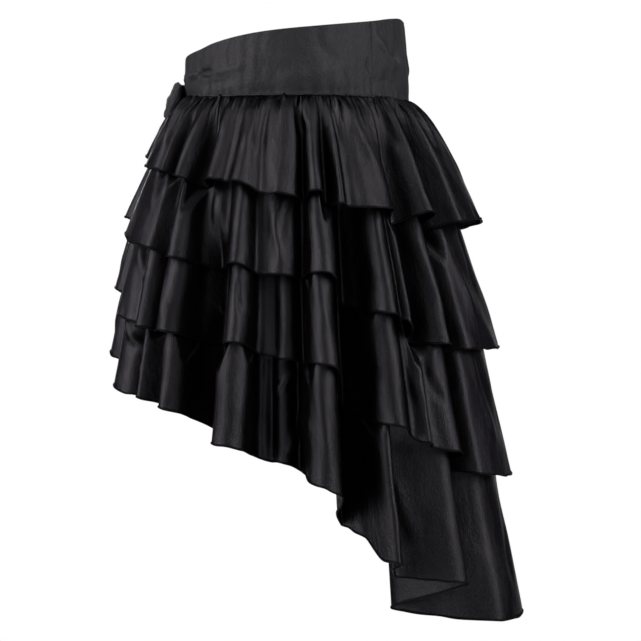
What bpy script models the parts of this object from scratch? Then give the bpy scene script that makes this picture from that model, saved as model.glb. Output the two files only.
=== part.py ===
"""High-low skirt in black satin: a shaped waistband, four gathered ruffles and a bow at the front.

The skirt hangs as it is worn, with no wearer. +Z is up, the front faces -Y and the wearer's left is +X.
The origin is in the middle of the waist opening, level with the middle of the band at the wearer's side.
Angles run round the skirt from the centre front (0) past the wearer's left side (90) to the centre
back (180) and on. A drop is measured downwards from the seam between the band and the top ruffle.
"""

import math
from collections import namedtuple

import bmesh
import bpy
from mathutils import Vector

# Cloth
SATIN_WALL = 0.0015
BAND_WALL = 0.0024
SEAM_GAP = 0.0003
SEWN_GAP = 0.0005
SEWN_STEP = SATIN_WALL + SEWN_GAP

# Waistband
BAND_SEAM_ANGLE = 147.5
BAND_STEP_ANGLE = 5.0
BAND_ROWS = 3
BandEdge = namedtuple("BandEdge", "front side back")
BAND_TOP_REACH = BandEdge(0.1132, 0.1240, 0.1145)
BAND_FOOT_REACH = BandEdge(0.1137, 0.1280, 0.1212)
BAND_FOOT_HEIGHT = BandEdge(-0.0370, -0.0435, -0.0425)

# Height of the band's top edge round the half circle from the front to the back
BandTop = namedtuple("BandTop", "angle height")
BAND_TOPS = (
    BandTop(0, 0.0025),
    BandTop(30, 0.0062),
    BandTop(50, 0.0095),
    BandTop(62, 0.0140),
    BandTop(88, 0.0218),
    BandTop(120, 0.0275),
    BandTop(150, 0.0347),
    BandTop(180, 0.0410),
)

# How far the crests of the folds reach from the axis at each drop, and how deep the folds are there
Section = namedtuple("Section", "drop front side back fold")
SECTIONS = (
    Section(0.000, 0.1128, 0.1267, 0.1202, 0.000),
    Section(0.005, 0.1170, 0.1320, 0.1280, 0.002),
    Section(0.016, 0.1245, 0.1400, 0.1385, 0.005),
    Section(0.040, 0.1405, 0.1525, 0.1500, 0.010),
    Section(0.063, 0.1515, 0.1640, 0.1580, 0.015),
    Section(0.125, 0.1715, 0.1830, 0.1725, 0.027),
    Section(0.190, 0.1810, 0.1950, 0.1870, 0.035),
    Section(0.260, 0.1890, 0.2040, 0.1985, 0.042),
    Section(0.390, 0.1980, 0.2140, 0.2120, 0.050),
    Section(0.540, 0.2050, 0.2280, 0.2320, 0.060),
)

# Long folds that all four ruffles share: angle of the crest, angle of the valley after it, how deep that
# valley is, and how far the crest itself is sunk, both as shares of the section's fold depth
Fold = namedtuple("Fold", "crest valley depth sink")
FOLDS = (
    Fold(10, 27, 0.75, 0.0),
    Fold(46, 54, 0.30, 0.0),
    Fold(61, 75, 1.00, 0.0),
    Fold(87, 95, 0.50, 0.0),
    Fold(101, 105, 0.55, 0.15),
    Fold(112, 122, 1.05, 0.0),
    Fold(131, 138, 0.40, 0.0),
    Fold(150, 156, 1.35, 0.0),
    Fold(176, 189, 0.35, 0.0),
    Fold(199, 208, 1.00, 0.0),
    Fold(219, 227, 0.45, 0.0),
    Fold(234, 245, 1.05, 0.0),
    Fold(254, 260, 0.50, 0.1),
    Fold(268, 278, 0.70, 0.0),
    Fold(288, 298, 1.00, 0.0),
    Fold(307, 314, 0.35, 0.0),
    Fold(322, 334, 0.90, 0.0),
    Fold(347, 358, 0.55, 0.0),
)
COLUMNS_PER_HALF_FOLD = 4
FLANK_STEEPNESS = 0.75
USUAL_REACH = 0.19
USUAL_FOLD = 0.04

# Gathers sewn into the band: every second column is drawn in
GATHER_DEPTH = 0.0016
GATHER_FADE_DROP = 0.045

# Drop of each ruffle's hem round the half circle from the front to the back
Hem = namedtuple("Hem", "angle ruffles")
HEMS = (
    Hem(0, (0.057, 0.122, 0.193, 0.262)),
    Hem(44, (0.077, 0.150, 0.231, 0.307)),
    Hem(62, (0.083, 0.160, 0.238, 0.319)),
    Hem(87, (0.093, 0.169, 0.247, 0.352)),
    Hem(112, (0.100, 0.183, 0.271, 0.394)),
    Hem(132, (0.112, 0.220, 0.331, 0.464)),
    Hem(148, (0.123, 0.252, 0.358, 0.484)),
    Hem(180, (0.125, 0.263, 0.390, 0.532)),
)
VALLEY_SAG = 0.006

# Each ruffle: its rows from seam (0) to hem (1), and how far its hem stands off the ruffle below
Ruffle = namedtuple("Ruffle", "name rows lift_front lift_side lift_back")
RUFFLES = (
    Ruffle("ruffle_1_top", (0.0, 0.045, 0.13, 0.32, 0.64, 1.0), 0.006, 0.014, 0.026),
    Ruffle("ruffle_2", (0.0, 0.30, 0.65, 1.0), 0.008, 0.012, 0.018),
    Ruffle("ruffle_3", (0.0, 0.30, 0.65, 1.0), 0.011, 0.014, 0.020),
    Ruffle("ruffle_4_bottom", (0.0, 0.30, 0.65, 1.0), 0.012, 0.013, 0.014),
)
SEWN_ROW_FROM_HEM = 2
LIFT_START = 0.30

# Bow at the front of the band: a knot and a flat loop on each side
KNOT_SIZE = Vector((0.0160, 0.0160, 0.0150))
KNOT_CENTRE = Vector((0.0, -0.1220, -0.0290))
KNOT_ROUNDING = 0.0045
BowSection = namedtuple("BowSection", "out back front middle half_height")
BOW_SECTIONS = (
    BowSection(0.0084, 0.1165, 0.1265, -0.0290, 0.0062),
    BowSection(0.0200, 0.1185, 0.1310, -0.0310, 0.0095),
    BowSection(0.0330, 0.1190, 0.1305, -0.0345, 0.0130),
    BowSection(0.0460, 0.1182, 0.1270, -0.0380, 0.0165),
    BowSection(0.0545, 0.1172, 0.1220, -0.0405, 0.0185),
)
BOW_SLOPE = 0.38
BOW_END_BULGE = 0.0025
BOW_ROWS = (-1.0, -0.5, 0.0, 0.5, 1.0)


def smooth(share):
    """Ease from 0 to 1 with level ends."""
    share = min(1.0, max(0.0, share))
    return share * share * (3.0 - 2.0 * share)


def read_table(knots, values, at):
    """Smooth curve through the table's points, level at its two ends."""
    last = len(knots) - 1
    if at <= knots[0]:
        return values[0]
    if at >= knots[last]:
        return values[last]
    left = max(i for i in range(last) if knots[i] <= at)
    right = left + 1
    span = knots[right] - knots[left]

    def slope(i):
        if i in (0, last):
            return 0.0
        before = (values[i] - values[i - 1]) / (knots[i] - knots[i - 1])
        after = (values[i + 1] - values[i]) / (knots[i + 1] - knots[i])
        if before * after <= 0.0:
            return 0.0
        return 2.0 * before * after / (before + after)

    t = (at - knots[left]) / span
    start = values[left] * (1.0 + 2.0 * t) * (1.0 - t) ** 2
    start_slope = slope(left) * span * t * (1.0 - t) ** 2
    end = values[right] * t * t * (3.0 - 2.0 * t)
    end_slope = slope(right) * span * t * t * (t - 1.0)
    return start + start_slope + end + end_slope


def mirrored(angle):
    """The same place on the half circle from the front (0) to the back (180)."""
    angle = angle % 360.0
    return 360.0 - angle if angle > 180.0 else angle


def reach_at(angle, front, side, back):
    """Distance from the axis on an oval whose front and back halves differ."""
    turn = math.radians(angle)
    depth = front if math.cos(turn) > 0.0 else back
    return 1.0 / math.hypot(math.sin(turn) / side, math.cos(turn) / depth)


def blend_at(angle, front, side, back):
    """A value that eases from the front to the side and on to the back."""
    share = math.cos(math.radians(angle))
    return side + ((front if share > 0.0 else back) - side) * share * share


def point_at(angle, reach, height):
    turn = math.radians(angle)
    return Vector((reach * math.sin(turn), -reach * math.cos(turn), height))


def seam_height(angle):
    return blend_at(angle, *BAND_FOOT_HEIGHT)


def half_fold(start, start_offset, end, end_offset):
    """Angles and offsets from a crest to a valley or back, steeper in the middle."""
    points = []
    for step in range(COLUMNS_PER_HALF_FOLD):
        t = step / COLUMNS_PER_HALF_FOLD
        along = t + FLANK_STEEPNESS * math.sin(math.tau * t) / math.tau
        offset = start_offset + (end_offset - start_offset) * smooth(t)
        points.append((start + (end - start) * along, offset))
    return points


def fold_columns():
    """Every column's angle, fold offset (0 on a crest, -1 in a full valley), gather sign and place in the
    cloth. That place is the angle it would have if the cloth between two crests were spread out evenly."""
    columns = []
    for i, fold in enumerate(FOLDS):
        following = FOLDS[(i + 1) % len(FOLDS)]
        end = (following.crest + (360.0 if following.crest < fold.crest else 0.0), -following.sink)
        points = half_fold(fold.crest, -fold.sink, fold.valley, -fold.depth)
        points += half_fold(fold.valley, -fold.depth, *end)
        points.append(end)
        lengths = [0.0]
        for (angle, offset), (next_angle, next_offset) in zip(points, points[1:]):
            across = math.radians(next_angle - angle) * USUAL_REACH
            lengths.append(lengths[-1] + math.hypot(across, (next_offset - offset) * USUAL_FOLD))
        for (angle, offset), length in zip(points[:-1], lengths):
            place = fold.crest + (end[0] - fold.crest) * length / lengths[-1]
            sign = 1.0 if len(columns) % 2 else -1.0
            columns.append((angle, offset, sign, place))
    return columns


COLUMNS = fold_columns()


def folded_reach(angle, offset, sign, height, lift):
    """Reach of the cloth at one column and height, with its folds and, near the band, its gathers."""
    drop = seam_height(angle) - height
    drops = [section.drop for section in SECTIONS]
    front, side, back, fold = (
        read_table(drops, [getattr(section, name) for section in SECTIONS], drop)
        for name in ("front", "side", "back", "fold")
    )
    gather = GATHER_DEPTH * sign * (1.0 - smooth(drop / GATHER_FADE_DROP))
    return reach_at(angle, front, side, back) + fold * offset + gather + lift


def hem_height(angle, offset, place, number):
    """Height of a ruffle's hem, a little lower in the valleys, where the cloth hangs straighter."""
    drop = read_table([hem.angle for hem in HEMS], [hem.ruffles[number] for hem in HEMS], mirrored(place))
    return seam_height(angle) - drop + VALLEY_SAG * offset


def set_in(rings, row, distance):
    """A ring of the cloth moved in from its face."""
    ring, above, below = rings[row], rings[max(row - 1, 0)], rings[min(row + 1, len(rings) - 1)]
    moved = []
    for i, point in enumerate(ring):
        along = ring[(i + 1) % len(ring)] - ring[i - 1]
        down = below[i] - above[i]
        moved.append(point - down.cross(along).normalized() * distance)
    return moved


def ruffle_rings(number, top_ring):
    """The face of one ruffle as rings of points from its seam to its hem.

    Each ruffle is sewn to the back of the one above, at top_ring, and its folds nest inside that one's.
    """
    ruffle = RUFFLES[number]
    start = LIFT_START if top_ring else 0.0
    rings = []
    for row in ruffle.rows:
        ring = []
        for i, (angle, offset, sign, place) in enumerate(COLUMNS):
            top = top_ring[i].z if top_ring else seam_height(angle) - SEAM_GAP
            height = top + (hem_height(angle, offset, place, number) - top) * row
            full_lift = blend_at(angle, ruffle.lift_front, ruffle.lift_side, ruffle.lift_back)
            lift = full_lift * max(0.0, (row - start) / (1.0 - start)) ** 1.4
            ring.append(point_at(angle, folded_reach(angle, offset, sign, height, lift), height))
        rings.append(ring)
    if number:
        rings = [top_ring] + [set_in(rings, row, number * SEWN_STEP) for row in range(1, len(rings))]
    return rings


def shell(name, rings, wall, is_closed, material, outward=True):
    """One named piece of cloth: a sheet through the rings, given its thickness on the inner side."""
    mesh = bpy.data.meshes.new(name)
    bm = bmesh.new()
    rows = [[bm.verts.new(point) for point in ring] for ring in rings]
    count = len(rings[0])
    for upper, lower in zip(rows, rows[1:]):
        for i in range(count if is_closed else count - 1):
            after = (i + 1) % count
            bm.faces.new((upper[i], lower[i], lower[after], upper[after]))
    bm.to_mesh(mesh)
    bm.free()
    mesh.shade_smooth()
    piece = bpy.data.objects.new(name, mesh)
    parts.objects.link(piece)
    mesh.materials.append(material)
    solidify = piece.modifiers.new("wall", "SOLIDIFY")
    solidify.thickness = wall
    solidify.offset = -1.0 if outward else 1.0
    solidify.use_even_offset = False
    return piece


def band_piece(name, start, end, material):
    """A panel of the waistband between two angles, from its top edge down to the ruffle seam."""
    steps = round((end - start) / BAND_STEP_ANGLE)
    heights = [top.height for top in BAND_TOPS]
    angles = [top.angle for top in BAND_TOPS]
    rings = []
    for row in range(BAND_ROWS + 1):
        share = row / BAND_ROWS
        reaches = [top + (foot - top) * share for top, foot in zip(BAND_TOP_REACH, BAND_FOOT_REACH)]
        ring = []
        for i in range(steps + 1):
            angle = start + (end - start) * i / steps
            top = read_table(angles, heights, mirrored(angle))
            height = top + (seam_height(angle) - top) * share
            ring.append(point_at(angle, reach_at(angle, *reaches), height))
        rings.append(ring)
    return shell(name, rings, BAND_WALL, False, material)


def bow_loop(name, side, material):
    """A loop of folded satin: out along the band from the knot and back in front of itself."""
    last = BOW_SECTIONS[-1]
    path = [(s.out, -s.back, s.middle, s.half_height) for s in BOW_SECTIONS]
    end_depth = (last.back + last.front) / 2.0
    path.append((last.out + BOW_END_BULGE, -end_depth, last.middle, last.half_height))
    path += [(s.out, -s.front, s.middle, s.half_height) for s in reversed(BOW_SECTIONS)]
    if side < 0:
        path.reverse()
    rings = []
    for row in BOW_ROWS:
        ring = []
        for out, depth, middle, half_height in path:
            down = row * half_height
            ring.append(Vector((side * out, depth - BOW_SLOPE * down, middle - down)))
        rings.append(ring)
    return shell(name, rings, SATIN_WALL, False, material, outward=False)


def bow_knot(name, material):
    mesh = bpy.data.meshes.new(name)
    bm = bmesh.new()
    bmesh.ops.create_cube(bm, size=1.0)
    bmesh.ops.scale(bm, vec=KNOT_SIZE, verts=bm.verts)
    bm.to_mesh(mesh)
    bm.free()
    knot = bpy.data.objects.new(name, mesh)
    knot.location = KNOT_CENTRE
    parts.objects.link(knot)
    mesh.materials.append(material)
    bevel = knot.modifiers.new("rounding", "BEVEL")
    bevel.width = KNOT_ROUNDING
    bevel.segments = 3
    return knot


def satin(name, colour, roughness):
    material = bpy.data.materials.new(name)
    material.use_nodes = True
    shader = material.node_tree.nodes["Principled BSDF"]
    shader.inputs["Base Color"].default_value = (*colour, 1.0)
    shader.inputs["Roughness"].default_value = roughness
    shader.inputs["Metallic"].default_value = 0.0
    return material


# Build
for old in list(bpy.data.objects):
    bpy.data.objects.remove(old, do_unlink=True)
parts = bpy.data.collections.new("high_low_skirt")
bpy.context.scene.collection.children.link(parts)

ruffle_satin = satin("ruffle_satin", (0.013, 0.013, 0.015), 0.36)
band_satin = satin("band_satin", (0.018, 0.017, 0.020), 0.45)

half_gap_angle = math.degrees(SEAM_GAP / 2.0 / BAND_TOP_REACH.side)
band_front_start = -(BAND_SEAM_ANGLE - half_gap_angle)
band_piece("waistband_front", band_front_start, -band_front_start, band_satin)
band_back_start = BAND_SEAM_ANGLE + half_gap_angle
band_piece("waistband_back", band_back_start, 360.0 - band_back_start, band_satin)

sewn_ring = None
for number, ruffle in enumerate(RUFFLES):
    rings = ruffle_rings(number, sewn_ring)
    shell(ruffle.name, rings, SATIN_WALL, True, ruffle_satin)
    sewn_ring = set_in(rings, len(rings) - SEWN_ROW_FROM_HEM, SEWN_STEP)

bow_loop("bow_loop_left", 1, band_satin)
bow_loop("bow_loop_right", -1, band_satin)
bow_knot("bow_knot", band_satin)
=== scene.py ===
import math

import bpy
import numpy as np
from mathutils import Matrix, Vector


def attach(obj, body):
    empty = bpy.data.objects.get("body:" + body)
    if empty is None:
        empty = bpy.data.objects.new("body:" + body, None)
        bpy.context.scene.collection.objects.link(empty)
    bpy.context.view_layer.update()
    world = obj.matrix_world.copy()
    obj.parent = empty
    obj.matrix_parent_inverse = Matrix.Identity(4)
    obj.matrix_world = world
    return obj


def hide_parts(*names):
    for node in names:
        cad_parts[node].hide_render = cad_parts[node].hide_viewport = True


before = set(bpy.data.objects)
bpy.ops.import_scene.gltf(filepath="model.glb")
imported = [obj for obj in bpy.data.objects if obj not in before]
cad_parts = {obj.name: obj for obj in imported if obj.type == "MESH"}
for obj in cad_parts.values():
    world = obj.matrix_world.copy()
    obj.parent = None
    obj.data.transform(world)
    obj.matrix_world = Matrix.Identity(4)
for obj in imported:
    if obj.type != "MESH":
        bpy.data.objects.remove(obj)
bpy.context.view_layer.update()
print("frame loaded:", len(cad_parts), "pieces")

# Metres throughout. The skirt faces -Y with its left side at +X, and angles in degrees
# run from the centre front (0) past the left side (90) to the centre back (180) and on.


# Small helpers

def curveThrough(knots, values, at):
    # smooth curve through the points of a short table, level at both ends
    knots = np.asarray(knots, float)
    values = np.asarray(values, float)
    at = np.clip(np.asarray(at, float), knots[0], knots[-1])
    i = np.clip(np.searchsorted(knots, at, side="right") - 1, 0, len(knots) - 2)
    steps = np.diff(knots)
    rises = np.diff(values) / steps
    slopes = np.zeros(len(knots))
    same = rises[:-1] * rises[1:] > 0
    slopes[1:-1][same] = 2 * rises[:-1][same] * rises[1:][same] / (rises[:-1] + rises[1:])[same]
    t = (at - knots[i]) / steps[i]
    return (values[i] * (1 + 2 * t) * (1 - t) ** 2 + slopes[i] * steps[i] * t * (1 - t) ** 2
            + values[i + 1] * t * t * (3 - 2 * t) + slopes[i + 1] * steps[i] * t * t * (t - 1))


def ease(share):
    share = np.clip(share, 0.0, 1.0)
    return share * share * (3 - 2 * share)


def halfTurn(angle):
    # both sides read the same table: 0 in front, 180 behind
    angle = np.mod(angle, 360.0)
    return np.where(angle > 180.0, 360.0 - angle, angle)


def ovalReach(angle, front, side, back):
    # distance from the axis to an oval through three reaches
    turn = np.radians(angle)
    depth = np.where(np.cos(turn) > 0, front, back)
    return 1.0 / np.hypot(np.sin(turn) / side, np.cos(turn) / depth)


def blendRound(angle, front, side, back):
    # a value that changes softly from front to side to back
    share = np.cos(np.radians(angle))
    return side + (np.where(share > 0, front, back) - side) * share * share


def placeAt(angle, reach, height):
    turn = np.radians(angle)
    return np.stack([reach * np.sin(turn), -reach * np.cos(turn), height], axis=-1)


def wander(rng, at, pitch, period):
    # smooth random line that comes back to its start after one period
    count = max(4, int(round(period / pitch)))
    values = rng.uniform(-1, 1, count)
    x = np.mod(at, period) / period * count
    i = np.floor(x).astype(int)
    t = x - i
    a, b, c, d = (values[(i + k) % count] for k in (-1, 0, 1, 2))
    return b + 0.5 * t * (c - a + t * (2 * a - 5 * b + 4 * c - d + t * (3 * (b - c) + d - a)))


def surfaceNormals(grid, closed):
    if closed:
        across = np.roll(grid, -1, axis=1) - np.roll(grid, 1, axis=1)
    else:
        across = np.gradient(grid, axis=1)
    down = np.gradient(grid, axis=0)
    normal = np.cross(down, across)
    return normal / np.maximum(np.linalg.norm(normal, axis=-1, keepdims=True), 1e-12)


def sheetMesh(name, grid, closed, material, closedDown=False):
    # a sheet through a grid of points, rows down and columns round, with a UV map in metres
    rows, columns = grid.shape[:2]
    wide = columns if closed else columns - 1
    tall = rows if closedDown else rows - 1
    j, i = np.meshgrid(np.arange(tall), np.arange(wide), indexing="ij")
    nextI = (i + 1) % columns
    nextJ = (j + 1) % rows
    corners = (j * columns + i, nextJ * columns + i, nextJ * columns + nextI, j * columns + nextI)
    faces = np.stack(corners, axis=-1).reshape(-1, 4)
    mesh = bpy.data.meshes.new(name)
    mesh.vertices.add(rows * columns)
    mesh.vertices.foreach_set("co", grid.reshape(-1).astype(np.float32))
    mesh.loops.add(len(faces) * 4)
    mesh.loops.foreach_set("vertex_index", faces.reshape(-1).astype(np.int32))
    mesh.polygons.add(len(faces))
    mesh.polygons.foreach_set("loop_start", np.arange(0, len(faces) * 4, 4, dtype=np.int32))
    mesh.update(calc_edges=True)
    widest = grid[rows - 1 if closed else rows // 2]
    step = np.linalg.norm(np.diff(widest, axis=0, append=widest[:1]), axis=-1)
    u = np.concatenate([[0.0], np.cumsum(step)])
    middle = grid.mean(axis=1)
    fall = np.linalg.norm(np.diff(middle, axis=0, append=middle[:1]), axis=-1)
    v = -np.concatenate([[0.0], np.cumsum(fall)])
    cornerU = np.stack([u[i], u[i], u[i + 1], u[i + 1]], axis=-1).reshape(-1)
    cornerV = np.stack([v[j], v[j + 1], v[j + 1], v[j]], axis=-1).reshape(-1)
    uvLayer = mesh.uv_layers.new(name="threads")
    uvLayer.data.foreach_set("uv", np.stack([cornerU, cornerV], axis=-1).reshape(-1).astype(np.float32))
    mesh.polygons.foreach_set("use_smooth", np.ones(len(faces), dtype=bool))
    mesh.materials.append(material)
    mesh.update()
    piece = bpy.data.objects.new(name, mesh)
    bpy.context.scene.collection.objects.link(piece)
    return piece


def edgeRoll(name, line, outward, radius, material, sides=7):
    # narrow rolled edge that follows a closed line of points
    along = np.roll(line, -1, axis=0) - np.roll(line, 1, axis=0)
    along /= np.linalg.norm(along, axis=-1, keepdims=True)
    side = outward - along * np.sum(outward * along, axis=-1, keepdims=True)
    side /= np.linalg.norm(side, axis=-1, keepdims=True)
    other = np.cross(along, side)
    turn = np.linspace(0, 2 * np.pi, sides, endpoint=False)[:, None, None]
    spokes = np.cos(turn) * side[None] - np.sin(turn) * other[None]
    return sheetMesh(name, line[None] + radius[None, :, None] * spokes, True, material, closedDown=True)


# Materials

cloth = {
    # scale across, along and through the UV map, detail, roughness of each noise
    "streak": ((420, 14, 1), 3, 0.5), "mottle": ((38, 21, 1), 3, 0.6),
    "crumple": ((62, 40, 1), 4, 0.6), "weave": ((760, 520, 1), 3, 0.7),
    # how far each one lifts the surface, in metres
    "crumpleRise": 0.0030, "streakRise": 0.00010, "weaveRise": 0.00024,
    "glossSpread": 0.16,
}


def makeThreadGroup():
    # threads of the satin, from the piece's own UV map in metres
    group = bpy.data.node_groups.new("satinThreads", "ShaderNodeTree")
    group.interface.new_socket(name="Colour", in_out="INPUT", socket_type="NodeSocketColor")
    for name in ("Gloss", "Streaks", "Crumple", "Threads", "Mottle"):
        group.interface.new_socket(name=name, in_out="INPUT", socket_type="NodeSocketFloat")
    for name, kind in (("Colour", "Color"), ("Roughness", "Float"), ("Normal", "Vector")):
        group.interface.new_socket(name=name, in_out="OUTPUT", socket_type="NodeSocket" + kind)
    nodes, links = group.nodes, group.links
    entry = nodes.new("NodeGroupInput")
    leave = nodes.new("NodeGroupOutput")
    uvMap = nodes.new("ShaderNodeUVMap")
    uvMap.uv_map = "threads"

    def noiseAt(scale, detail, roughness):
        mapping = nodes.new("ShaderNodeMapping")
        mapping.inputs["Scale"].default_value = scale
        noise = nodes.new("ShaderNodeTexNoise")
        noise.inputs["Scale"].default_value = 1.0
        noise.inputs["Detail"].default_value = detail
        noise.inputs["Roughness"].default_value = roughness
        links.new(uvMap.outputs["UV"], mapping.inputs["Vector"])
        links.new(mapping.outputs["Vector"], noise.inputs["Vector"])
        return noise.outputs["Fac"]

    def spread(value, amount, middle):
        # value around 0.5 becomes middle plus or minus amount
        scaled = nodes.new("ShaderNodeMath")
        scaled.operation = "MULTIPLY_ADD"
        shifted = nodes.new("ShaderNodeMath")
        shifted.operation = "SUBTRACT"
        shifted.inputs[1].default_value = 0.5
        links.new(value, shifted.inputs[0])
        links.new(shifted.outputs[0], scaled.inputs[0])
        links.new(amount, scaled.inputs[1])
        if isinstance(middle, float):
            scaled.inputs[2].default_value = middle
        else:
            links.new(middle, scaled.inputs[2])
        return scaled.outputs[0]

    streakNoise = noiseAt(*cloth["streak"])
    mottleNoise = noiseAt(*cloth["mottle"])
    crumpleNoise = noiseAt(*cloth["crumple"])
    weaveNoise = noiseAt(*cloth["weave"])

    shade = spread(streakNoise, entry.outputs["Streaks"], 1.0)
    shade = spread(weaveNoise, entry.outputs["Threads"], shade)
    shade = spread(mottleNoise, entry.outputs["Mottle"], shade)
    tint = nodes.new("ShaderNodeVectorMath")
    tint.operation = "SCALE"
    links.new(entry.outputs["Colour"], tint.inputs[0])
    links.new(shade, tint.inputs["Scale"])
    links.new(tint.outputs["Vector"], leave.inputs["Colour"])

    glossSpread = nodes.new("ShaderNodeMath")
    glossSpread.operation = "MULTIPLY"
    glossSpread.inputs[1].default_value = cloth["glossSpread"]
    links.new(entry.outputs["Streaks"], glossSpread.inputs[0])
    rough = spread(streakNoise, glossSpread.outputs[0], entry.outputs["Gloss"])
    rough = spread(mottleNoise, glossSpread.outputs[0], rough)
    links.new(rough, leave.inputs["Roughness"])

    def bumpOf(height, strength, distance, below=None):
        bump = nodes.new("ShaderNodeBump")
        bump.inputs["Distance"].default_value = distance
        links.new(height, bump.inputs["Height"])
        links.new(strength, bump.inputs["Strength"])
        if below is not None:
            links.new(below, bump.inputs["Normal"])
        return bump.outputs["Normal"]

    normal = bumpOf(crumpleNoise, entry.outputs["Crumple"], cloth["crumpleRise"])
    normal = bumpOf(streakNoise, entry.outputs["Streaks"], cloth["streakRise"], normal)
    normal = bumpOf(weaveNoise, entry.outputs["Threads"], cloth["weaveRise"], normal)
    links.new(normal, leave.inputs["Normal"])
    return group


threadGroup = makeThreadGroup()


def makeSatin(name, look):
    material = bpy.data.materials.new(name)
    material.use_nodes = True
    nodes, links = material.node_tree.nodes, material.node_tree.links
    shader = nodes["Principled BSDF"]
    threads = nodes.new("ShaderNodeGroup")
    threads.node_tree = threadGroup
    threads.inputs["Colour"].default_value = (*look["colour"], 1)
    for part in ("Gloss", "Streaks", "Crumple", "Threads", "Mottle"):
        threads.inputs[part].default_value = look[part.lower()]
    links.new(threads.outputs["Colour"], shader.inputs["Base Color"])
    links.new(threads.outputs["Roughness"], shader.inputs["Roughness"])
    links.new(threads.outputs["Normal"], shader.inputs["Normal"])
    # all of its light is the satin's gloss, which is duller at grazing angles
    shader.inputs["Metallic"].default_value = 1.0
    shader.inputs["Specular Tint"].default_value = (*look["edge"], 1)
    return material


ruffleSatin = makeSatin("ruffleSatin", {
    "colour": (0.0096, 0.0091, 0.0102), "edge": (0.32, 0.32, 0.33), "gloss": 0.335,
    "streaks": 0.28, "crumple": 0.48, "threads": 2.00, "mottle": 1.10,
})
bandSatin = makeSatin("bandSatin", {
    "colour": (0.0150, 0.0144, 0.0160), "edge": (0.45, 0.45, 0.45), "gloss": 0.62,
    "streaks": 0.12, "crumple": 1.00, "threads": 1.80, "mottle": 0.60,
})
edgeThread = makeSatin("edgeThread", {
    "colour": (0.0036, 0.0035, 0.0039), "edge": (0.45, 0.45, 0.45), "gloss": 0.55,
    "streaks": 0.40, "crumple": 0.40, "threads": 0.60, "mottle": 0.40,
})
print("materials made")


# The form that all pieces share

body = {
    "seam": (-0.0370, -0.0435, -0.0425),          # height of the band's lower edge: front, side, back
    # by the drop below that seam: how far out the folds reach in front, at the side and behind, and their depth
    "drop": (0.000, 0.005, 0.016, 0.040, 0.063, 0.125, 0.190, 0.260, 0.390, 0.540),
    "front": (0.1128, 0.1180, 0.1280, 0.1420, 0.1500, 0.1690, 0.1795, 0.1860, 0.1940, 0.2020),
    "side": (0.1267, 0.1330, 0.1430, 0.1550, 0.1640, 0.1830, 0.1950, 0.2040, 0.2140, 0.2280),
    "back": (0.1202, 0.1275, 0.1375, 0.1490, 0.1565, 0.1720, 0.1880, 0.1995, 0.2125, 0.2310),
    "fold": (0.000, 0.002, 0.005, 0.010, 0.015, 0.027, 0.035, 0.042, 0.050, 0.060),
    "topFold": (0.000, 0.0035, 0.0095, 0.0190, 0.0255, 0.0340, 0.0360, 0.0360, 0.0360, 0.0360),
    "nominalReach": 0.19,                         # turns degrees round the skirt into metres
    "bandFoot": (0.1137, 0.1280, 0.1212),         # reach of the band's lower edge: front, side, back
    "footDent": 0.0022,                           # how far it is drawn in at the seam
}


def seamHeight(angle):
    return blendRound(angle, *body["seam"])


def crestReach(angle, drop):
    sides = (curveThrough(body["drop"], body[side], drop) for side in ("front", "side", "back"))
    return ovalReach(angle, *sides)


# Folds. Each row: left and right shoulder of a fold, how far its top is sunk, left and right edge of the
# valley after it, how deep that is, and for a panel that leans, how far its left side falls back.
# Depths are shares of the full fold depth at that height.

topFolds = (
    (-4, 17, 0.00, 22, 28, 0.55),
    (33, 46, 0.06, 47.5, 50, 0.50),
    (51.3, 54.5, 0.00, 55.6, 57.8, 0.80),
    (59.8, 65.8, 0.00, 67.6, 73, 1.00),
    (74.8, 82.2, 0.08, 83.0, 83.8, 0.34),
    (84.6, 91.6, 0.00, 93, 94.8, 0.42),
    (95.8, 106.2, 0.03, 107.8, 109.2, 0.85),
    (109.6, 114.4, 0.00, 115.6, 117.2, 0.85),
    (118.8, 121.8, 0.05, 122.8, 124.8, 0.36),
    (126.6, 138.2, 0.04, 139.8, 146, 0.85),
    (148.6, 154.2, 0.00, 157, 162, 1.40),
    (166, 196, 0.00, 197, 202, 0.80),
    (203, 213, 0.05, 212, 216, 0.75),
    (217, 230, 0.00, 231, 236, 0.55),
    (238, 251, 0.08, 253, 258, 0.90),
    (258, 266, 0.00, 268, 272, 0.45),
    (274, 290, 0.10, 289, 294, 0.85),
    (296, 309, 0.00, 311, 315, 0.50),
    (317, 329, 0.05, 330, 336, 0.75),
    (339, 350, 0.00, 351, 354, 0.35),
)
farFolds = (
    (201, 206.5, 0.00, 207, 209, 0.45),
    (210, 216, 0.10, 215, 222, 1.05),
    (224, 233, 0.00, 234, 237, 0.40),
    (238, 243, 0.06, 243, 251, 1.10),
    (252, 258, 0.00, 259, 262, 0.60),
    (263, 270, 0.30, 272, 277, 0.90),
    (278, 289, 0.00, 290, 299, 1.05),
    (300, 306, 0.00, 307, 309, 0.35),
    (310, 321, 0.05, 323, 332, 0.95),
    (334, 344, 0.00, 346, 352, 0.60),
)
secondFolds = (
    (-3, 17, 0.00, 21, 27, 0.80),
    (32, 55.4, 0.04, 57.8, 61, 0.75),
    (62.6, 69.4, 0.00, 70.8, 82, 1.05),
    (85.2, 91, 0.00, 92.3, 94, 0.80),
    (95.3, 105.8, 0.58, 107.2, 109, 1.00),
    (110.2, 118.1, 0.00, 119.3, 128.4, 1.10),
    (130.4, 136.5, 0.00, 136.8, 137.1, 0.30),
    (137.5, 141.2, 0.10, 142.4, 146.4, 0.84),
    (148, 155, 0.00, 156.2, 158.4, 0.90),
    (161, 195, 0.00, 196, 200, 0.90),
) + farFolds
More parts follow.
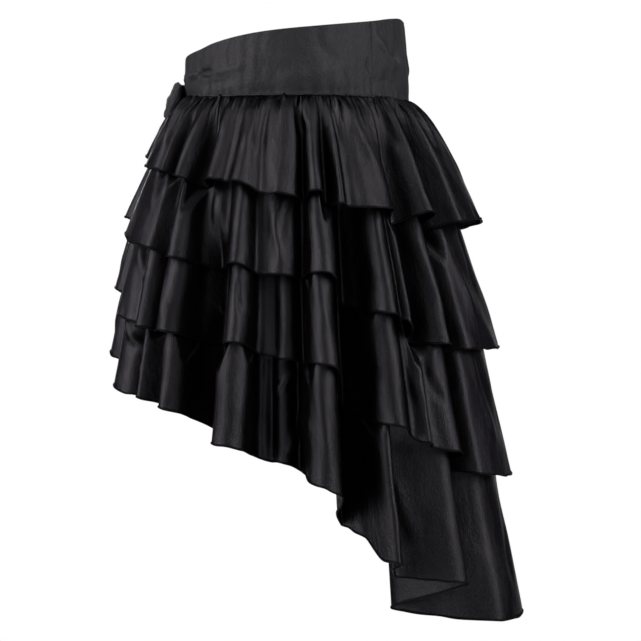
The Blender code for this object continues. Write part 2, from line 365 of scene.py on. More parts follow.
thirdFolds = (
    (-3, 17, 0.00, 21, 27, 0.80),
    (32, 44.6, 0.06, 46, 47.6, 0.40),
    (49.6, 56, 0.00, 57.2, 59.4, 0.75),
    (60.6, 69.2, 0.00, 70.6, 82.3, 1.08),
    (85.0, 91.2, 0.00, 92.5, 95, 0.90),
    (98.6, 107, 0.74, 107.8, 108.8, 1.05),
    (109.8, 118.0, 0.00, 119.3, 128.2, 1.12),
    (130.0, 138.6, 0.04, 139.2, 140, 0.36),
    (141, 145.2, 0.00, 145.8, 146.8, 0.28),
    (147.8, 157, 0.00, 158.2, 160, 1.20),
    (162, 195, 0.00, 196, 200, 0.90),
) + farFolds
hemFolds = (
    (-3, 17, 0.00, 21, 27, 0.80),
    (33, 45, 0.06, 47, 50.4, 0.62),
    (52, 56.6, 0.04, 58, 60.6, 0.60),
    (62, 70, 0.00, 71.4, 80.5, 1.05),
    (81.8, 91.6, 0.00, 93, 95.5, 0.90),
    (98, 106, 0.80, 106.8, 107.8, 1.10),
    (109.6, 118.4, 0.00, 119.6, 128, 1.14),
    (129.6, 134.4, 0.00, 135.0, 136, 0.70),
    (138.6, 156, 0.00, 152.5, 158, 1.60, 0.85),
    (169, 195, 0.00, 196, 200, 0.90),
) + farFolds


# shoulder: how far a fold's edges fall back; pipe: how much more those of folds under "narrow" degrees do
turnShape = {"shoulder": 0.10, "narrow": 14, "pipe": 2.2, "inset": 0.22, "groove": 0.055}


def foldLine(folds, columns, rounding, depthMetres):
    # the run of the cloth round the skirt: its angle and depth at even steps, rounded at each turn
    points = []
    crests = []
    for left, right, sunk, valleyLeft, valleyRight, depth, *tilt in folds:
        crests.append(len(points) + 2)
        lean = tilt[0] if tilt else 0.0
        wide = right - left
        # narrow folds stand as round pipes, wide ones as soft panels
        piped = min(max((turnShape["narrow"] - wide) / 6, 0), 1)
        fallOff = turnShape["shoulder"] * (1 + turnShape["pipe"] * piped)
        inset = wide * turnShape["inset"]
        points += [(left, -sunk - fallOff - lean),
                   (left + inset, -sunk - fallOff * 0.3 - lean * 0.9),
                   (left + wide * 0.5, -sunk - lean * 0.55),
                   (right - inset, -sunk - fallOff * 0.3 - lean * 0.1),
                   (right, -sunk - fallOff)]
        # valleys end in a groove, so that they hold no light
        groove = turnShape["groove"] * (valleyRight - valleyLeft) * min(depth, 1) ** 2
        points += [(valleyLeft, -depth),
                   ((valleyLeft + valleyRight) / 2, -depth - groove),
                   (valleyRight, -depth)]
    points.append((points[0][0] + 360, points[0][1]))
    points = np.array(points, float)
    perDegree = math.radians(body["nominalReach"])
    steps = np.hypot(np.diff(points[:, 0]) * perDegree, np.diff(points[:, 1]) * depthMetres)
    length = np.concatenate([[0.0], np.cumsum(steps)])
    at = np.arange(columns) / columns * length[-1]
    angle = np.interp(at, length, points[:, 0])
    offset = np.interp(at, length, points[:, 1])
    reachOfBlur = int(3 * rounding / length[-1] * columns) + 1
    stepsOff = np.arange(-reachOfBlur, reachOfBlur + 1)
    weights = np.exp(-0.5 * (stepsOff * length[-1] / columns / rounding) ** 2)
    weights /= weights.sum()
    wide = np.concatenate([angle[-reachOfBlur:] - 360, angle, angle[:reachOfBlur] + 360])
    angle = np.convolve(wide, weights, mode="valid")
    wide = np.concatenate([offset[-reachOfBlur:], offset, offset[:reachOfBlur]])
    offset = np.convolve(wide, weights, mode="valid")
    # place: where on the cloth a point belongs, which the hem and its waves follow
    crestAt = length[crests]
    crestAngle = points[crests, 0]
    crestAt = np.concatenate([[crestAt[-1] - length[-1]], crestAt, [crestAt[0] + length[-1]]])
    crestAngle = np.concatenate([[crestAngle[-1] - 360], crestAngle, [crestAngle[0] + 360]])
    place = np.interp(at, crestAt, crestAngle)
    return angle, offset, place, at, length[-1]


# Ruffles

# Drop of each ruffle's hem below the seam: angle, then the four ruffles from the top. The other side
# is the same but for its own waves.
hemDrops = np.array((
    (0, 0.057, 0.122, 0.193, 0.262),
    (20, 0.063, 0.129, 0.206, 0.277),
    (44, 0.077, 0.150, 0.231, 0.302),
    (60, 0.080, 0.160, 0.237, 0.311),
    (68, 0.084, 0.163, 0.240, 0.316),
    (82, 0.088, 0.167, 0.246, 0.345),
    (90, 0.093, 0.169, 0.247, 0.355),
    (96, 0.101, 0.175, 0.255, 0.360),
    (105, 0.103, 0.180, 0.264, 0.368),
    (112, 0.096, 0.180, 0.269, 0.386),
    (118, 0.108, 0.188, 0.282, 0.406),
    (127, 0.114, 0.210, 0.314, 0.438),
    (130, 0.115, 0.216, 0.324, 0.461),
    (138, 0.116, 0.224, 0.340, 0.470),
    (141, 0.126, 0.238, 0.348, 0.476),
    (150, 0.119, 0.252, 0.358, 0.488),
    (160, 0.129, 0.256, 0.372, 0.505),
    (180, 0.1245, 0.257, 0.388, 0.531),
))

ruffles = (
    # lift: how far the hem flares in front, at the side and behind; swells: angle, share down, degrees wide,
    # share tall and rise of soft bulges in the sunk cloth
    {"name": "ruffle_1", "node": "ruffle_1_top", "folds": topFolds, "columns": 1500, "rows": 44, "seed": 11,
     "rounding": 0.0036, "foldDepth": 0.034, "foldKind": "topFold", "lift": (0.006, 0.014, 0.026),
     "gather": 0.0046, "gatherFade": 0.012, "longFade": 0.06, "ripple": 0.0007, "swells": ()},
    {"name": "ruffle_2", "node": "ruffle_2", "folds": secondFolds, "columns": 1600, "rows": 44, "seed": 22,
     "rounding": 0.0036, "foldDepth": 0.040, "foldKind": "fold", "lift": (0.010, 0.011, 0.017),
     "gather": 0.0010, "gatherFade": 0.009, "longFade": 0.03, "ripple": 0.0016,
     "swells": ((76.4, 0.50, 3.2, 0.26, 0.018), (248, 0.5, 4.0, 0.25, 0.012))},
    {"name": "ruffle_3", "node": "ruffle_3", "folds": thirdFolds, "columns": 1600, "rows": 50, "seed": 33,
     "rounding": 0.0044, "foldDepth": 0.042, "foldKind": "fold", "lift": (0.008, 0.011, 0.017),
     "gather": 0.0010, "gatherFade": 0.009, "longFade": 0.03, "ripple": 0.0016,
     "swells": ((295, 0.6, 4.0, 0.25, 0.012),)},
    {"name": "ruffle_4", "node": "ruffle_4_bottom", "folds": hemFolds, "columns": 1600, "rows": 58, "seed": 44,
     "rounding": 0.0046, "foldDepth": 0.046, "foldKind": "fold", "lift": (0.008, 0.008, 0.009),
     "gather": 0.0010, "gatherFade": 0.009, "longFade": 0.03, "ripple": 0.0016,
     "swells": ((217, 0.6, 4.0, 0.25, 0.012),)},
)
sewing = {
    "rowShare": 0.64,         # how far down a ruffle the next one is sewn to its back
    "followShare": 0.26,      # how far down its own depth a ruffle still follows that row
    "layer": 0.0005, "clearance": 0.0018, "liftStart": 0.30, "valleySag": 0.005, "hemRadius": 0.0012,
    "hemWave": 0.0022,
    # the top ruffle's first rows are tucked under the band
    "tuckUp": 0.0014, "tuckIn": 0.0006, "tuckFade": 0.0022,
    "still": 0.0035,          # no gather moves the cloth at the seam itself
    "smallWave": 0.00055, "hemPull": 0.0009, "hemPullDown": 0.0008, "hemPullTall": 0.016,
    "creaseTall": 0.12,
}

# Creases laid on each ruffle: from angle, share down, to angle, share down, width and rise in metres
ruffleCreases = (
    (
        (55, 0.02, 57, 0.50, 0.0050, -0.0022), (79, 0.00, 77, 0.50, 0.0060, 0.0018),
        (92, 0.02, 88, 0.66, 0.0060, 0.0022), (95, 0.04, 93, 0.60, 0.0050, -0.0024),
        (106.5, 0.00, 108.6, 0.44, 0.0045, -0.0034), (111, 0.02, 109.5, 0.30, 0.0035, 0.0024),
        (121, 0.02, 123, 0.46, 0.0045, -0.0022), (130, 0.30, 133, 0.95, 0.0080, -0.0014),
        (127, 0.02, 134, 0.62, 0.0060, 0.0018),
        (138, 0.02, 140, 0.60, 0.0050, 0.0020), (146, 0.00, 149, 0.50, 0.0050, -0.0026),
        (158, 0.04, 162, 0.85, 0.0070, 0.0022), (172, 0.00, 170, 0.50, 0.0060, -0.0024),
        (186, 0.03, 190, 0.70, 0.0065, 0.0022), (207, 0.00, 204, 0.40, 0.0050, -0.0026),
        (226, 0.04, 229, 0.78, 0.0070, 0.0022), (247, 0.02, 244, 0.45, 0.0045, 0.0024),
        (268, 0.00, 271, 0.60, 0.0060, -0.0022), (286, 0.05, 283, 0.85, 0.0070, 0.0024),
        (303, 0.02, 306, 0.38, 0.0045, -0.0026), (322, 0.00, 319, 0.65, 0.0060, 0.0020),
        (341, 0.04, 344, 0.50, 0.0050, -0.0022), (8, 0.02, 12, 0.70, 0.0065, 0.0020),
        (27, 0.00, 24, 0.45, 0.0050, -0.0022), (43, 0.03, 46, 0.75, 0.0060, 0.0022),
    ),
    (
        (45, 0.20, 52, 0.70, 0.0055, 0.0020), (63, 0.30, 60, 0.90, 0.0050, 0.0014),
        (98, 0.45, 102, 0.95, 0.0050, 0.0020), (104.5, 0.30, 101, 0.75, 0.0045, -0.0018),
        (114, 0.20, 112, 0.75, 0.0060, 0.0012), (133, 0.30, 131, 0.90, 0.0060, 0.0018),
        (149, 0.35, 152, 0.85, 0.0050, 0.0016), (163, 0.25, 170, 0.80, 0.0070, 0.0022),
        (182, 0.30, 176, 0.70, 0.0060, -0.0020), (213, 0.25, 218, 0.85, 0.0060, 0.0020),
        (241, 0.40, 236, 0.90, 0.0055, 0.0022), (266, 0.30, 272, 0.75, 0.0060, -0.0020),
        (294, 0.25, 288, 0.85, 0.0060, 0.0022), (327, 0.35, 333, 0.80, 0.0055, 0.0020),
        (4, 0.30, 10, 0.75, 0.0060, -0.0018), (26, 0.35, 21, 0.90, 0.0055, 0.0020),
    ),
    (
        (42, 0.34, 50, 0.76, 0.0050, 0.0022), (61, 0.40, 66, 0.95, 0.0055, 0.0016),
        (88, 0.50, 90.5, 0.78, 0.0030, -0.0020), (112, 0.25, 115, 0.80, 0.0060, 0.0014),
        (139, 0.34, 143, 0.80, 0.0045, 0.0022), (147, 0.50, 151, 0.74, 0.0040, -0.0022),
        (151, 0.36, 148.5, 0.66, 0.0040, 0.0022), (168, 0.30, 176, 0.85, 0.0070, 0.0022),
        (190, 0.40, 183, 0.80, 0.0060, -0.0020), (212, 0.34, 220, 0.90, 0.0060, 0.0022),
        (246, 0.30, 240, 0.80, 0.0060, 0.0022), (262, 0.45, 269, 0.90, 0.0055, -0.0022),
        (293, 0.30, 286, 0.75, 0.0060, 0.0022), (318, 0.40, 325, 0.90, 0.0060, 0.0020),
        (342, 0.34, 336, 0.76, 0.0055, -0.0020), (6, 0.30, 13, 0.85, 0.0060, 0.0020),
        (28, 0.40, 23, 0.80, 0.0055, 0.0022),
    ),
    (
        (39, 0.36, 47, 0.62, 0.0045, 0.0034), (49, 0.40, 43, 0.66, 0.0045, -0.0030),
        (46, 0.60, 54, 0.76, 0.0035, 0.0028), (64, 0.40, 62, 0.95, 0.0055, 0.0016),
        (99, 0.56, 106, 0.36, 0.0040, 0.0036), (103, 0.92, 109, 0.62, 0.0050, 0.0040),
        (112, 0.30, 115, 0.85, 0.0060, 0.0014), (125, 0.72, 119, 0.50, 0.0060, 0.0036),
        (131, 0.40, 133, 0.90, 0.0045, 0.0018), (141, 0.46, 146, 0.86, 0.0060, 0.0024),
        (160, 0.36, 168, 0.80, 0.0075, 0.0024), (186, 0.40, 178, 0.85, 0.0070, -0.0022),
        (213, 0.34, 221, 0.80, 0.0060, 0.0024), (245, 0.40, 238, 0.90, 0.0060, 0.0024),
        (264, 0.36, 270, 0.70, 0.0050, -0.0026), (291, 0.40, 284, 0.85, 0.0065, 0.0024),
        (315, 0.36, 322, 0.80, 0.0060, 0.0022), (340, 0.40, 334, 0.85, 0.0060, -0.0022),
        (7, 0.36, 14, 0.80, 0.0060, 0.0022), (29, 0.44, 23, 0.85, 0.0055, 0.0024),
    ),
)


def creaseRise(angle, down, creases, perDegree, tall):
    # soft ridges and troughs along short bowed lines, gone at both ends
    move = np.zeros(np.broadcast(angle, down).shape)
    for fromAngle, fromDown, toAngle, toDown, width, rise in creases:
        ax = (np.mod(angle - fromAngle + 180, 360) - 180) * perDegree
        ay = (down - fromDown) * tall
        bx = (toAngle - fromAngle) * perDegree
        by = (toDown - fromDown) * tall
        along = (ax * bx + ay * by) / (bx * bx + by * by)
        bow = 0.30 * width * np.sin(np.pi * np.clip(along, 0, 1))
        away = (ax * by - ay * bx) / math.hypot(bx, by) + bow
        move = move + rise * np.exp(-(away / width) ** 2) * ease(along * 3 + 0.2) * ease((1 - along) * 3 + 0.2)
    return move


def smallWaves(rng, place, height, strength, count, finest, coarsest):
    # low soft unevenness over the cloth, never the same twice
    total = np.zeros(np.broadcast(place, height).shape)
    for _ in range(count):
        wavesRound = rng.integers(int(1.2 / coarsest), int(1.2 / finest))
        wavesDown = rng.uniform(-1, 1) / coarsest
        total += np.sin(np.radians(place) * wavesRound + height * 2 * np.pi * wavesDown + rng.uniform(0, 6.28))
    return strength * total / math.sqrt(count)


def innerLimit(grid, binsRound=480, binHeight=0.004, release=1.15):
    # nearest that the ruffle above comes to the axis, by angle and height, let go gradually below its hem
    low = grid[..., 2].min() - 0.09
    tall = int((grid[..., 2].max() - low) / binHeight) + 2
    limit = np.full((tall, binsRound), np.inf)
    turn = np.mod(np.degrees(np.arctan2(grid[..., 0], -grid[..., 1])), 360.0)
    i = (turn / 360.0 * binsRound).astype(int) % binsRound
    j = ((grid[..., 2] - low) / binHeight).astype(int)
    reach = np.hypot(grid[..., 0], grid[..., 1])
    np.minimum.at(limit, (j, i), reach)
    limit = np.minimum(limit, np.minimum(np.roll(limit, 1, axis=1), np.roll(limit, -1, axis=1)))
    for j in range(1, tall):
        limit[j] = np.minimum(limit[j], limit[j - 1] + release * binHeight)
    for j in range(tall - 2, -1, -1):
        limit[j] = np.minimum(limit[j], limit[j + 1] + release * binHeight)
    limit = np.minimum(limit, 0.5)

    def lookUp(angle, height):
        x = np.mod(angle, 360.0) / 360.0 * binsRound - 0.5
        y = np.clip((height - low) / binHeight - 0.5, 0, tall - 1.001)
        i = np.floor(x).astype(int)
        j = np.floor(y).astype(int)
        x = x - i
        y = y - j
        lower = limit[j, i % binsRound] * (1 - x) + limit[j, (i + 1) % binsRound] * x
        upper = limit[j + 1, i % binsRound] * (1 - x) + limit[j + 1, (i + 1) % binsRound] * x
        return lower * (1 - y) + upper * y
    return lookUp


def layRuffle(number, above):
    cut = ruffles[number]
    rng = np.random.default_rng(cut["seed"])
    angle, offset, place, at, length = foldLine(cut["folds"], cut["columns"], cut["rounding"], cut["foldDepth"])
    turned = np.mod(place, 360.0)
    down = np.linspace(0, 1, cut["rows"])[:, None]
    if above is None:
        down = down ** 1.15       # closer rows by the gathers
        top = seamHeight(angle) + sewing["tuckUp"]
    else:
        order = np.argsort(np.mod(above["place"], 360.0))
        sewnPlace = np.mod(above["place"], 360.0)[order]
        sewnRow = int(sewing["rowShare"] * (len(above["heights"]) - 1))
        top = np.interp(turned, sewnPlace, above["heights"][sewnRow][order], period=360.0)
    hemDrop = curveThrough(hemDrops[:, 0], hemDrops[:, number + 1], halfTurn(place))
    hemDrop = hemDrop + sewing["hemWave"] * wander(rng, place, 14, 360) * (halfTurn(place) > 1)
    hem = seamHeight(angle) - hemDrop + sewing["valleySag"] * offset
    height = top + (hem - top) * down
    drop = seamHeight(angle) - height
    fullFold = curveThrough(body["drop"], body[cut["foldKind"]], drop)
    liftStart = 0.0 if above is None else sewing["liftStart"]
    rise = np.maximum(0.0, (down - liftStart) / (1 - liftStart)) ** 1.2
    lift = blendRound(angle, *cut["lift"]) * rise
    growth = 1.0 if above is None else 0.45 + 0.55 * ease(down / 0.34)
    drift = 0.7 * wander(rng, place, 25, 360) * np.sin(down * 2.6 + 3 * wander(rng, place, 60, 360))
    reach = crestReach(angle, drop) + fullFold * offset * growth + lift
    if above is not None:
        reach = np.minimum(reach, above["limit"](angle + drift, height) - sewing["clearance"])
    for atAngle, atDown, wide, tall, swell in cut["swells"]:
        away = (np.mod(angle - atAngle + 180, 360) - 180) / wide
        reach = reach + swell * np.exp(-away ** 2 - ((down - atDown) / tall) ** 2) * np.clip(-offset, 0, 1)
    fall = np.maximum(0.0, top - height)
    if above is None:
        tucked = ovalReach(angle, *body["bandFoot"]) - body["footDent"] - sewing["tuckIn"]
        reach = reach + (tucked - reach) * np.exp(-(fall / sewing["tuckFade"]) ** 2)
    grid = placeAt(angle + drift * ease(down * 2), reach, height)
    if above is not None:
        # its first rows follow the back of the ruffle it is sewn to
        line = above["grid"][sewnRow][order]
        sewnLine = np.stack([np.interp(turned, sewnPlace, line[:, k], period=360.0) for k in range(3)], axis=-1)
        sewnLine[:, :2] *= 1 - sewing["layer"] / np.hypot(sewnLine[:, 0], sewnLine[:, 1])[:, None]
        near = (1 - ease(down / sewing["followShare"]))[..., None]
        followed = sewnLine[None] - np.array([0, 0, 1.0]) * fall[..., None]
        grid = grid * (1 - near) + followed * near
    normal = surfaceNormals(grid, True)

    # gathers by the seam: uneven small pleats, each with its own length
    uneven = at + 0.012 * wander(rng, at, 0.055, length) + 0.004 * wander(rng, at, 0.017, length)
    patch = 0.35 + 0.9 * np.abs(wander(rng, at, 0.026, length))
    pleat = patch * (wander(rng, uneven, 0.0040, length) + 0.8 * wander(rng, uneven, 0.0085, length))
    reachDown = cut["gatherFade"] * (0.45 + 1.6 * np.abs(wander(rng, at, 0.019, length)))
    pull = np.exp(-(fall / reachDown) ** 1.5) * (0.65 + 0.35 * ease(fall / 0.006))
    move = cut["gather"] * pleat * pull
    # secondary pleats that run on down and widen
    longer = wander(rng, uneven, 0.021, length) * np.exp(-(fall / cut["longFade"]) ** 2) * ease(fall / 0.012)
    move = move + cut["ripple"] * longer * np.clip(patch, 0, 1.1)
    perDegree = math.radians(body["nominalReach"])
    move = move + creaseRise(angle, down, ruffleCreases[number], perDegree, sewing["creaseTall"])
    # soft unevenness, and small waves where the hem's thread draws in
    move = move + smallWaves(rng, place, height, sewing["smallWave"], 10, 0.022, 0.075)
    nearHem = np.exp(-((hem - height) / sewing["hemPullTall"]) ** 2)
    move = move + sewing["hemPull"] * wander(rng, uneven, 0.013, length) * nearHem
    move = move * ease(fall / sewing["still"])
    grid = grid + normal * move[..., None]
    grid[..., 2] += sewing["hemPullDown"] * wander(rng, uneven, 0.011, length) * nearHem
    return {"grid": grid, "place": place, "heights": height, "limit": innerLimit(grid), "length": length}


made = []
for number, cut in enumerate(ruffles):
    laid = layRuffle(number, made[-1] if made else None)
    made.append(laid)
    piece = sheetMesh(cut["name"] + "_cloth", laid["grid"], True, ruffleSatin)
    edge = laid["grid"][-1]
    outward = surfaceNormals(laid["grid"], True)[-1]
    rng = np.random.default_rng(cut["seed"] + 500)
    thick = sewing["hemRadius"] * (1 + 0.18 * wander(rng, np.arange(len(edge)), 7, len(edge)))
    hemRoll = edgeRoll(cut["name"] + "_hem", edge, outward, thick, edgeThread)
    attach(piece, "root")
    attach(hemRoll, "root")
    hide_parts(cut["node"])
    clothArea = sum(face.area for face in piece.data.polygons)
    print(cut["name"], "laid,", round(laid["length"], 3), "m of cloth round it,", round(clothArea, 3), "m2")


# Waistband

band = {
    "topAngle": (0, 30, 50, 62, 88, 120, 150, 165, 180),
    "topHeight": (0.0000, 0.0028, 0.0058, 0.0106, 0.0192, 0.0265, 0.0342, 0.0388, 0.0414),
    "topReach": (0.1132, 0.1240, 0.1145),
    "seamAngle": 147.5, "seamGap": 0.00024, "seamDepth": 0.0009, "seamPuff": 0.0003,
    "wall": 0.0022, "nominalReach": 0.12, "tall": 0.07, "perDegree": 1.4, "rowsUp": 34,
    "innerDent": 0.0016, "pucker": 0.0010, "smallWave": 0.00042, "edgeRadius": 0.0011, "edgeWave": 0.0004,
    # soft creases: from angle, share down, to angle, share down, width and rise in metres
    "creases": (
        (38, 0.52, 53, 0.50, 0.0050, 0.0040), (51, 0.48, 63, 0.56, 0.0045, -0.0040),
        (61, 0.56, 84, 0.49, 0.0045, 0.0020), (52, 0.80, 78, 0.70, 0.0050, -0.0016),
        (84, 0.30, 104, 0.50, 0.0060, 0.0012), (98, 0.74, 126, 0.62, 0.0060, 0.0014),
        (116, 0.20, 128, 0.56, 0.0060, -0.0012), (150, 0.18, 166, 0.62, 0.0040, 0.0034),
        (143, 0.50, 147, 0.70, 0.0032, -0.0024), (158, 0.30, 172, 0.54, 0.0030, -0.0024),
        (163, 0.62, 178, 0.46, 0.0035, 0.0014), (186, 0.35, 200, 0.66, 0.0045, 0.0016),
        (214, 0.55, 236, 0.72, 0.0055, -0.0014), (250, 0.42, 276, 0.60, 0.0055, 0.0010),
        (292, 0.70, 312, 0.55, 0.0045, 0.0014), (316, 0.40, 342, 0.52, 0.0040, -0.0016),
        (12, 0.35, 30, 0.62, 0.0045, 0.0012),
    ),
    # dents where the band gives: angle, share down, width round, width down, depth
    "dents": ((157, 0.84, 0.034, 0.012, 0.0044), (57, 0.50, 0.007, 0.006, 0.0018),
              (205, 0.80, 0.020, 0.011, 0.0024), (336, 0.60, 0.010, 0.008, 0.0016),
              (120, 0.94, 0.040, 0.006, 0.0010), (262, 0.90, 0.030, 0.008, 0.0012),
              (92, 0.93, 0.020, 0.006, 0.0010)),
}


def bandGrid(start, end, seed):
    columns = int((end - start) * band["perDegree"]) + 1
    angle = np.linspace(start, end, columns)[None, :]
    down = np.linspace(1, 0, band["rowsUp"])[:, None]
    top = curveThrough(band["topAngle"], band["topHeight"], halfTurn(angle))
    foot = seamHeight(angle)
    reaches = [t + (f - t) * down for t, f in zip(band["topReach"], body["bandFoot"])]
    reach = ovalReach(angle, *reaches)
    height = top + (foot - top) * down
    rng = np.random.default_rng(seed)
    move = smallWaves(rng, angle, height, band["smallWave"], 12, 0.022, 0.09)
    perDegree = math.radians(band["nominalReach"])
    move = move + creaseRise(angle, down, band["creases"], perDegree, band["tall"])
    for atAngle, atDown, wide, tall, depth in band["dents"]:
        ax = (angle - atAngle) * perDegree / wide
        ay = (down - atDown) * band["tall"] / tall
        move = move - depth * np.exp(-(ax * ax + ay * ay))
    seamOff = np.minimum(np.abs(halfTurn(angle) - band["seamAngle"]) * perDegree, 1)
    move = move - band["seamDepth"] * np.exp(-(seamOff / 0.0016) ** 2)
    move = move + band["seamPuff"] * np.exp(-((seamOff - 0.006) / 0.003) ** 2)
    pucker = band["pucker"] * wander(rng, angle, 2.2, 360) * np.exp(-((1 - down) / 0.10) ** 2)
    atFoot = np.exp(-((1 - down) / 0.13) ** 2)
    outer = placeAt(angle, reach + move + pucker - body["footDent"] * atFoot, height)
    inner = placeAt(angle, reach - band["wall"] + 0.4 * move - band["innerDent"] * atFoot, height)[::-1]
    turn = np.linspace(0, np.pi, 7)[1:-1, None]
    half = band["wall"] / 2
    rim = placeAt(angle, reach[-1:] - half + half * np.cos(turn), top + half * np.sin(turn) * 0.9)
    under = outer[:1] * [0.9975, 0.9975, 1]       # all but meets the outer wall at the foot
    return np.concatenate([outer, rim, inner, under])[::-1]


def makeBand(name, node, start, end, seed):
    piece = sheetMesh(name, bandGrid(start, end, seed), False, bandSatin)
    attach(piece, "root")
    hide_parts(node)
    return piece


seamHalf = math.degrees(band["seamGap"] / 2 / band["nominalReach"])
frontEnd = band["seamAngle"] - seamHalf
backStart = band["seamAngle"] + seamHalf
bandFront = makeBand("band_front", "waistband_front", -frontEnd, frontEnd, 5)
bandBack = makeBand("band_back", "waistband_back", backStart, 360 - backStart, 6)

edgeAngle = np.linspace(0, 360, 720, endpoint=False)
edgeRng = np.random.default_rng(8)
edgeReach = ovalReach(edgeAngle, *body["bandFoot"]) - body["footDent"] + 0.0006
edgeHeight = seamHeight(edgeAngle) + band["edgeWave"] * wander(edgeRng, edgeAngle, 3, 360)
edgeLine = placeAt(edgeAngle, edgeReach, edgeHeight)
edgeOut = placeAt(edgeAngle, np.ones(720), np.zeros(720))
bandEdge = edgeRoll("band_edge", edgeLine, edgeOut, np.full(720, band["edgeRadius"]), bandSatin)
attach(bandEdge, "root")
print("waistband made")


# Bow

bow = {
    # each loop from the knot to its end: distance out, back and front layer, middle line, half height
    "out": (0.0075, 0.0190, 0.0310, 0.0420, 0.0500, 0.0520), "endRound": 0.0044,
    "back": (0.1158, 0.1152, 0.1134, 0.1104, 0.1080, 0.1074),
    "front": (0.1262, 0.1306, 0.1300, 0.1262, 0.1222, 0.1206),
    "middle": (-0.0290, -0.0345, -0.0380, -0.0400, -0.0408, -0.0410),
    "half": (0.0060, 0.0130, 0.0165, 0.0180, 0.0187, 0.0187),
    # how the layers lean out: upper half, lower half
    "slope": (0.52, 0.24), "backSlope": (0.10, 0.70), "backTop": 0.0045,
    "pleat": 0.0014, "curl": 0.0016, "steps": 40, "rows": 29,
    "knotCentre": (0.0, -0.1220, -0.0290), "knotHalf": (0.0082, 0.0080, 0.0078), "knotPleat": 0.05,
}


def loopGrid(side, seed):
    share = np.linspace(0, 1, bow["steps"])
    knots = np.linspace(0, 1, len(bow["out"]))
    lines = {k: curveThrough(knots, bow[k], share) for k in ("out", "back", "front", "middle", "half")}
    # the end of the loop turns over in a round, from the back layer to the front one
    turn = np.linspace(-0.5 * np.pi, 0.5 * np.pi, 13)[1:-1]
    thick = (lines["front"][-1] - lines["back"][-1]) / 2
    endOut = lines["out"][-1] + bow["endRound"] * np.cos(turn)
    endDepth = lines["back"][-1] + thick * (1 + np.sin(turn))
    out = np.concatenate([lines["out"], endOut, lines["out"][::-1]])
    depth = np.concatenate([lines["back"], endDepth, lines["front"][::-1]])
    middle, half = (np.concatenate([lines[k], np.full(len(turn), lines[k][-1]), lines[k][::-1]])
                    for k in ("middle", "half"))
    front = np.concatenate([-np.ones(bow["steps"]), np.sin(turn), np.ones(bow["steps"])])
    row = np.linspace(-1, 1, bow["rows"])[:, None]
    rng = np.random.default_rng(seed)
    nearKnot = np.clip(1 - (out - bow["out"][0]) / 0.048, 0, 1)
    pleats = np.cos(row * 7.5 + rng.uniform(-0.6, 0.6)) + 0.5 * np.cos(row * 15 + 1.0)
    depth = depth + front * bow["pleat"] * pleats * nearKnot ** 1.6
    fall = row * half
    curl = bow["curl"] * (row ** 2) * (1 - nearKnot)
    share = (1 + front) / 2
    frontLean = np.where(fall > 0, bow["slope"][1], bow["slope"][0]) * fall
    backLean = np.where(fall > 0, bow["backSlope"][1], bow["backSlope"][0]) * fall
    lean = share * frontLean + (1 - share) * backLean
    middle = middle - bow["backTop"] * (1 - share) * np.maximum(-row, 0)
    grid = np.stack([side * (out + 0 * row) - side * curl, -(depth + lean), middle - fall], axis=-1)
    return grid[:, ::-1] if side > 0 else grid


def makeLoop(name, node, side, seed):
    piece = sheetMesh(name, loopGrid(side, seed), False, bandSatin)
    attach(piece, "root")
    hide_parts(node)
    return piece


loopLeft = makeLoop("bow_left", "bow_loop_left", 1, 71)
loopRight = makeLoop("bow_right", "bow_loop_right", -1, 72)


def makeKnot():
    turn = np.linspace(0, 2 * np.pi, 72, endpoint=False)[None, :]
    tilt = np.linspace(0.5 * np.pi - 1e-3, -0.5 * np.pi + 1e-3, 31)[:, None]

    def boxy(wave, power=0.55):
        return np.sign(wave) * np.abs(wave) ** power

    wide, deep, tall = bow["knotHalf"]
    pleat = 1 + bow["knotPleat"] * np.cos(5 * boxy(np.cos(turn)) * np.pi) * np.cos(tilt)
    x = wide * boxy(np.cos(tilt)) * boxy(np.cos(turn)) * (1 - 0.10 * np.cos(tilt * 2))
    y = deep * boxy(np.cos(tilt)) * boxy(np.sin(turn)) * pleat
    z = tall * boxy(np.sin(tilt)) + 0 * turn
    cx, cy, cz = bow["knotCentre"]
    grid = np.stack([x + cx, y + cy, z + cz], axis=-1)
    piece = sheetMesh("bow_centre", grid, True, bandSatin)
    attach(piece, "root")
    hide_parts("bow_knot")
    return piece


knot = makeKnot()
print("bow made")


# Camera, floor and light

photo = {"azimuth": 105.0, "distance": 3.0, "height": -0.271, "aside": 0.0273, "metresPerPixel": 0.00105,
         "pixels": 641, "sensor": 36.0, "farthest": 50}
turn = math.radians(photo["azimuth"])
backward = Vector((math.sin(turn), -math.cos(turn), 0))
sideways = Vector((math.cos(turn), math.sin(turn), 0))
cameraData = bpy.data.cameras.new("camera")
cameraData.sensor_width = photo["sensor"]
cameraData.lens = photo["sensor"] * photo["distance"] / (photo["pixels"] * photo["metresPerPixel"])
cameraData.clip_end = photo["farthest"]
camera = bpy.data.objects.new("camera", cameraData)
bpy.context.scene.collection.objects.link(camera)
camera.matrix_world = Matrix((sideways, Vector((0, 0, 1)), backward)).transposed().to_4x4()
camera.location = backward * photo["distance"] + sideways * photo["aside"] + Vector((0, 0, photo["height"]))
bpy.context.scene.camera = camera

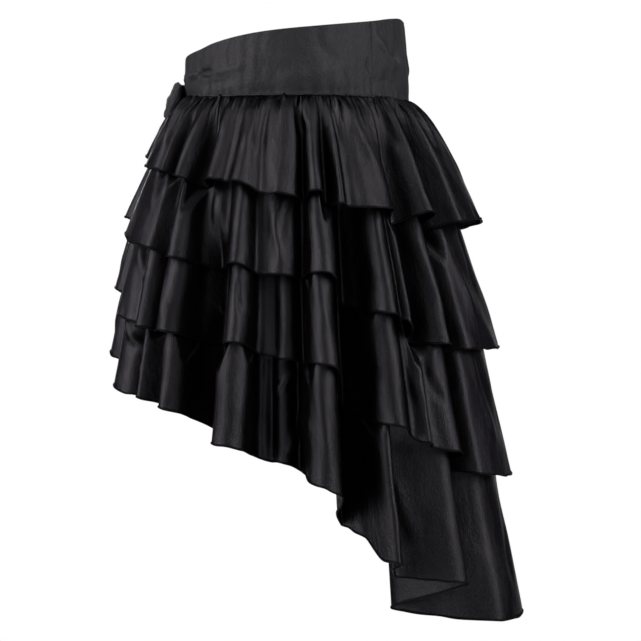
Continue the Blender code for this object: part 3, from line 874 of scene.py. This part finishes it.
# lamps: turn in degrees, height, distance from the skirt, size and power
studio = {"floorHeight": -1.0, "floorRadius": 2.9, "floorColour": (0.84, 0.84, 0.84, 1), "floorRoughness": 0.9,
          "world": 1.0, "aim": -0.25,
          "key": {"turn": 45, "lift": 0.95, "away": 2.2, "wide": 0.9, "tall": 2.9, "power": 132},
          "fill": {"turn": 165, "lift": 0.95, "away": 2.2, "wide": 0.9, "tall": 2.9, "power": 105},
          "left": {"turn": 5, "lift": 0.5, "away": 2.4, "wide": 0.9, "tall": 2.0, "power": 42},
          "right": {"turn": 208, "lift": 0.5, "away": 2.4, "wide": 1.1, "tall": 2.0, "power": 24},
          "far": {"turn": 290, "lift": 0.9, "away": 2.4, "wide": 1.1, "tall": 2.0, "power": 50}}
bpy.ops.object.select_all(action="DESELECT")
bpy.ops.mesh.primitive_circle_add(vertices=96, radius=studio["floorRadius"], fill_type="NGON",
                                  location=(0, 0, studio["floorHeight"]))
floor = bpy.context.active_object
floor.name = "floor"
floorPaint = bpy.data.materials.new("floorPaint")
floorPaint.use_nodes = True
floorShader = floorPaint.node_tree.nodes["Principled BSDF"]
floorShader.inputs["Base Color"].default_value = studio["floorColour"]
floorShader.inputs["Roughness"].default_value = studio["floorRoughness"]
floor.data.materials.append(floorPaint)

for name in ("key", "fill", "left", "right", "far"):
    lamp = studio[name]
    lampData = bpy.data.lights.new(name, "AREA")
    lampData.shape = "RECTANGLE"
    lampData.size = lamp["wide"]
    lampData.size_y = lamp["tall"]
    lampData.energy = lamp["power"]
    lampObject = bpy.data.objects.new(name, lampData)
    bpy.context.scene.collection.objects.link(lampObject)
    lampTurn = math.radians(lamp["turn"])
    spot = Vector((math.sin(lampTurn), -math.cos(lampTurn), 0)) * lamp["away"] + Vector((0, 0, lamp["lift"]))
    lampObject.location = spot
    lampObject.rotation_mode = "QUATERNION"
    lampObject.rotation_quaternion = (spot - Vector((0, 0, studio["aim"]))).to_track_quat("Z", "Y")

world = bpy.data.worlds.new("studio")
world.use_nodes = True
backdrop = world.node_tree.nodes["Background"]
backdrop.inputs["Color"].default_value = (1, 1, 1, 1)
backdrop.inputs["Strength"].default_value = studio["world"]
bpy.context.scene.world = world
bpy.context.scene.view_settings.view_transform = "Standard"
print("camera, floor and light set")
